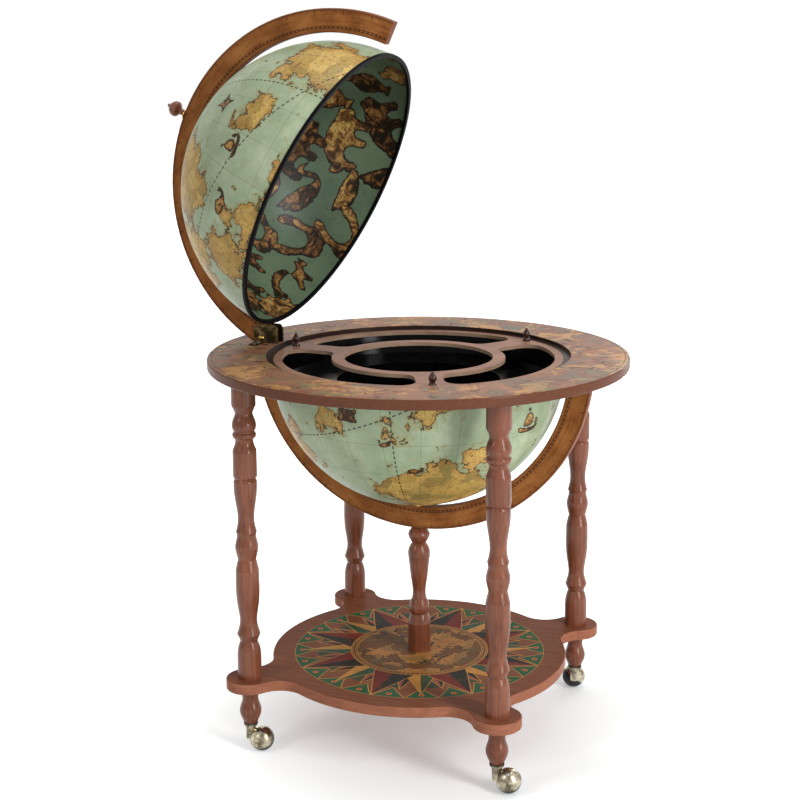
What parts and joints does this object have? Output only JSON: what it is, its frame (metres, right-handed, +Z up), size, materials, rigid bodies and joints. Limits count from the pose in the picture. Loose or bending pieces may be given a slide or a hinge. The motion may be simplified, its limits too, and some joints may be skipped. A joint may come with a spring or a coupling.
{
  "type": "globe bar on casters",
  "caption": "Floor-standing globe bar: a hinged upper half globe opens on a table ring that holds a bottle well and glass tray, on turned legs with a lower shelf and ball casters.",
  "frame": {"origin": "on the floor under the middle of the table ring", "axes": "+Z up; +Y from the middle towards the lid's hinge; +X to the right seen from the front, which is opposite the hinge"},
  "size_m": [0.702, 0.8142, 1.2149],
  "materials": {
    "ring_wood": "satin lacquer over an antique print",
    "turned_wood": "gloss lacquer, walnut stain",
    "shelf_wood": "satin lacquer over a compass rose print",
    "arc_wood": "satin lacquer over a printed scale",
    "insert_board": "satin lacquer",
    "globe_shell": "printed map under satin varnish",
    "globe_lining": "printed star figures under gloss varnish",
    "black_trim": "gloss",
    "tray_plastic": "gloss",
    "dark_bronze": "antique bronze",
    "brass": "antique polished",
    "steel": "zinc plated",
    "wheel_plastic": "moulded"
  },
  "bodies": {
    "stand": {"arc_dowels": "turned_wood", "bowl": "globe_shell", "bowl_bolt": "steel", "bowl_spacer": "brass", "caster_socket_back_left": "brass", "caster_socket_back_right": "brass", "caster_socket_front_left": "brass", "caster_socket_front_right": "brass", "centre_post": "turned_wood", "foot_back_left": "turned_wood", "foot_back_right": "turned_wood", "foot_front_left": "turned_wood", "foot_front_right": "turned_wood", "hinge_bracket_left": "dark_bronze", "hinge_bracket_right": "dark_bronze", "hinge_pin": "brass", "hinge_screws": "steel", "inner_tray": "tray_plastic", "leg_back_left": "turned_wood", "leg_back_right": "turned_wood", "leg_front_left": "turned_wood", "leg_front_right": "turned_wood", "lower_arc": "arc_wood", "shelf": "shelf_wood", "stud_back_left": "steel", "stud_back_right": "steel", "stud_front_left": "steel", "stud_front_right": "steel", "table_ring": "ring_wood"},
    "lid": {"lid_dome": "globe_shell", "lid_lining": "globe_lining", "lid_rim_trim": "black_trim", "upper_arc": "arc_wood", "hinge_bush": "brass", "lid_hinge_block": "turned_wood", "pole_spacer": "brass", "pole_collar": "brass", "pole_finial": "turned_wood", "pole_rod": "steel", "pole_nut": "brass"},
    "insert": {"bottle_insert": "insert_board", "insert_knob_1": "turned_wood", "insert_knob_2": "turned_wood", "insert_knob_3": "turned_wood"},
    "caster_front_right": {"caster_frame_front_right": "brass", "caster_axle_front_right": "steel"},
    "wheel_front_right": {"caster_wheel_front_right": "wheel_plastic"},
    "caster_back_right": {"caster_frame_back_right": "brass", "caster_axle_back_right": "steel"},
    "wheel_back_right": {"caster_wheel_back_right": "wheel_plastic"},
    "caster_back_left": {"caster_frame_back_left": "brass", "caster_axle_back_left": "steel"},
    "wheel_back_left": {"caster_wheel_back_left": "wheel_plastic"},
    "caster_front_left": {"caster_frame_front_left": "brass", "caster_axle_front_left": "steel"},
    "wheel_front_left": {"caster_wheel_front_left": "wheel_plastic"}
  },
  "joints": [
    {"name": "lid_hinge", "type": "hinge", "parent": "stand", "child": "lid", "pos_m": [0, 0.2868, 0.6582], "axis": [1, 0, 0], "range_deg": [0, 65.5]},
    {"name": "insert_lift", "type": "slide", "parent": "stand", "child": "insert", "axis": [0, 0, 1], "range_m": [0, 0.03]},
    {"name": "swivel_front_right", "type": "hinge", "parent": "stand", "child": "caster_front_right", "pos_m": [0.21666, -0.21666, 0.05], "axis": [0, 0, 1], "continuous": true},
    {"name": "wheel_spin_front_right", "type": "hinge", "parent": "caster_front_right", "child": "wheel_front_right", "pos_m": [0.23427, -0.20954, 0.02], "axis": [0.2306, -0.5708, 0.788], "continuous": true},
    {"name": "swivel_back_right", "type": "hinge", "parent": "stand", "child": "caster_back_right", "pos_m": [0.21666, 0.21666, 0.05], "axis": [0, 0, 1], "continuous": true},
    {"name": "wheel_spin_back_right", "type": "hinge", "parent": "caster_back_right", "child": "wheel_back_right", "pos_m": [0.23121, 0.20444, 0.02], "axis": [-0.3957, -0.4716, 0.788], "continuous": true},
    {"name": "swivel_back_left", "type": "hinge", "parent": "stand", "child": "caster_back_left", "pos_m": [-0.21666, 0.21666, 0.05], "axis": [0, 0, 1], "continuous": true},
    {"name": "wheel_spin_back_left", "type": "hinge", "parent": "caster_back_left", "child": "wheel_back_left", "pos_m": [-0.21336, 0.19795, 0.02], "axis": [-0.6063, -0.1069, 0.788], "continuous": true},
    {"name": "swivel_front_left", "type": "hinge", "parent": "stand", "child": "caster_front_left", "pos_m": [-0.21666, -0.21666, 0.05], "axis": [0, 0, 1], "continuous": true},
    {"name": "wheel_spin_front_left", "type": "hinge", "parent": "caster_front_left", "child": "wheel_front_left", "pos_m": [-0.21336, -0.23537, 0.02], "axis": [-0.6063, -0.1069, 0.788], "continuous": true}
  ]
}
